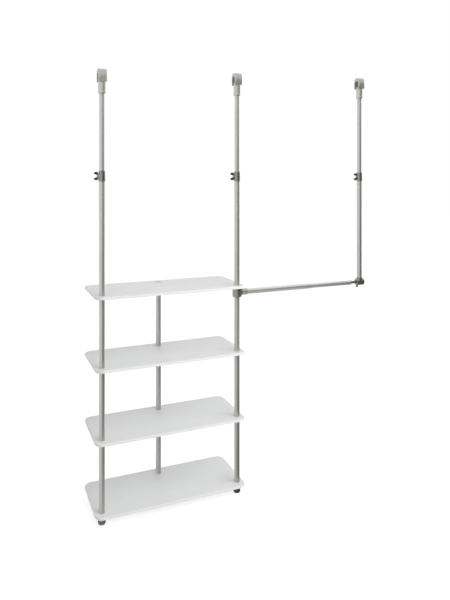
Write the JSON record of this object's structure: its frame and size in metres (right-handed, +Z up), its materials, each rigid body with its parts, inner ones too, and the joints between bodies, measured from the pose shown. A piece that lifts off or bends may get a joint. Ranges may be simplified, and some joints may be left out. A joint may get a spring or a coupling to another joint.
{
  "type": "closet organizer",
  "caption": "Closet organizer of board shelves on nickel tube posts, with telescopic masts that clip round a closet rod and a sliding side bar for hanging clothes.",
  "frame": {"origin": "bottom centre of the object's box, on the floor that the feet stand on", "axes": "+Z up along the masts, +X along the shelves towards the hanging bar, +Y to the back"},
  "size_m": [1.4046, 0.315, 2.0214],
  "materials": {
    "white_laminate": "white satin laminate on board",
    "satin_nickel": "satin nickel plate on steel tube",
    "plated_fitting": "moulded plastic with a nickel coat",
    "dark_screw": "dark nickel, satin",
    "zinc_steel": "zinc-plated steel",
    "grey_nylon": "moulded nylon"
  },
  "bodies": {
    "shelf_unit": {"shelf_bottom": "white_laminate", "shelf_lower": "white_laminate", "shelf_upper": "white_laminate", "shelf_top": "white_laminate", "leg_left": "satin_nickel", "leg_right": "satin_nickel", "leg_rear": "satin_nickel", "post_left_low": "satin_nickel", "post_left_mid": "satin_nickel", "post_left_high": "satin_nickel", "post_right_low": "satin_nickel", "post_right_mid": "satin_nickel", "post_right_high": "satin_nickel", "post_rear_low": "satin_nickel", "post_rear_mid": "satin_nickel", "post_rear_high": "satin_nickel", "stud_left_bottom": "zinc_steel", "stud_left_lower": "zinc_steel", "stud_left_upper": "zinc_steel", "stud_left_top": "zinc_steel", "stud_right_bottom": "zinc_steel", "stud_right_lower": "zinc_steel", "stud_right_upper": "zinc_steel", "stud_right_top": "zinc_steel", "stud_rear_bottom": "zinc_steel", "stud_rear_lower": "zinc_steel", "stud_rear_upper": "zinc_steel", "cap_screw_rear": "satin_nickel", "mast_tube_left": "satin_nickel", "mast_tube_right": "satin_nickel", "collar_left": "plated_fitting", "collar_right": "plated_fitting"},
    "glide_left": {"foot_left": "dark_screw"},
    "glide_right": {"foot_right": "dark_screw"},
    "glide_rear": {"foot_rear": "dark_screw"},
    "mast_left": {"inner_tube_left": "satin_nickel", "guide_bush_left": "grey_nylon"},
    "rod_head_left": {"rod_socket_left": "plated_fitting", "rod_clip_left": "plated_fitting"},
    "wing_left": {"wing_screw_left": "dark_screw"},
    "mast_right": {"inner_tube_right": "satin_nickel", "guide_bush_right": "grey_nylon"},
    "rod_head_right": {"rod_socket_right": "plated_fitting", "rod_clip_right": "plated_fitting"},
    "wing_right": {"wing_screw_right": "dark_screw"},
    "bar": {"bar_clamp": "plated_fitting", "bar_tube": "satin_nickel"},
    "bar_clamp_screw": {"clamp_screw": "dark_screw"},
    "hanger": {"bar_inner_tube": "satin_nickel", "bar_bush": "grey_nylon", "bar_end_pin": "plated_fitting", "tee": "plated_fitting", "mast_tube_hanger": "satin_nickel", "collar_hanger": "plated_fitting"},
    "hanger_tee_screw": {"tee_screw": "dark_screw"},
    "wing_hanger": {"wing_screw_hanger": "dark_screw"},
    "mast_hanger": {"inner_tube_hanger": "satin_nickel", "guide_bush_hanger": "grey_nylon"},
    "rod_head_hanger": {"rod_socket_hanger": "plated_fitting", "rod_clip_hanger": "plated_fitting"}
  },
  "joints": [
    {"name": "glide_left_height", "type": "slide", "parent": "shelf_unit", "child": "glide_left", "axis": [0, 0, -1], "range_m": [0, 0.006]},
    {"name": "glide_right_height", "type": "slide", "parent": "shelf_unit", "child": "glide_right", "axis": [0, 0, -1], "range_m": [0, 0.006]},
    {"name": "glide_rear_height", "type": "slide", "parent": "shelf_unit", "child": "glide_rear", "axis": [0, 0, -1], "range_m": [0, 0.006]},
    {"name": "mast_left_slide", "type": "slide", "parent": "shelf_unit", "child": "mast_left", "axis": [0, 0, 1], "range_m": [-0.3, 0.125]},
    {"name": "rod_head_left_swivel", "type": "hinge", "parent": "mast_left", "child": "rod_head_left", "pos_m": [-0.6683, -0.1135, 1.8634], "axis": [0, 0, 1], "continuous": true},
    {"name": "wing_left_turn", "type": "hinge", "parent": "shelf_unit", "child": "wing_left", "pos_m": [-0.6683, -0.1135, 1.5051], "axis": [-1, 0, 0], "continuous": true},
    {"name": "mast_right_slide", "type": "slide", "parent": "shelf_unit", "child": "mast_right", "axis": [0, 0, 1], "range_m": [-0.325, 0.1]},
    {"name": "rod_head_right_swivel", "type": "hinge", "parent": "mast_right", "child": "rod_head_right", "pos_m": [-0.0263, -0.1135, 1.8914], "axis": [0, 0, 1], "continuous": true},
    {"name": "wing_right_turn", "type": "hinge", "parent": "shelf_unit", "child": "wing_right", "pos_m": [-0.0263, -0.1135, 1.5051], "axis": [-1, 0, 0], "continuous": true},
    {"name": "bar_height_slide", "type": "slide", "parent": "shelf_unit", "child": "bar", "axis": [0, 0, 1], "range_m": [-0.25, 0]},
    {"name": "clamp_screw_turn", "type": "hinge", "parent": "bar", "child": "bar_clamp_screw", "pos_m": [-0.0263, -0.1135, 0.9655], "axis": [0, -1, 0], "continuous": true},
    {"name": "bar_length_slide", "type": "slide", "parent": "bar", "child": "hanger", "axis": [1, 0, 0], "range_m": [-0.235, 0.07]},
    {"name": "tee_screw_turn", "type": "hinge", "parent": "hanger", "child": "hanger_tee_screw", "pos_m": [0.6653, -0.1135, 0.9535], "axis": [0, 0, -1], "continuous": true},
    {"name": "wing_hanger_turn", "type": "hinge", "parent": "hanger", "child": "wing_hanger", "pos_m": [0.6808, -0.1135, 1.5051], "axis": [-1, 0, 0], "continuous": true},
    {"name": "mast_hanger_slide", "type": "slide", "parent": "hanger", "child": "mast_hanger", "axis": [0, 0, 1], "range_m": [-0.35, 0.075]},
    {"name": "rod_head_hanger_swivel", "type": "hinge", "parent": "mast_hanger", "child": "rod_head_hanger", "pos_m": [0.6808, -0.1135, 1.9174], "axis": [0, 0, 1], "continuous": true}
  ]
}
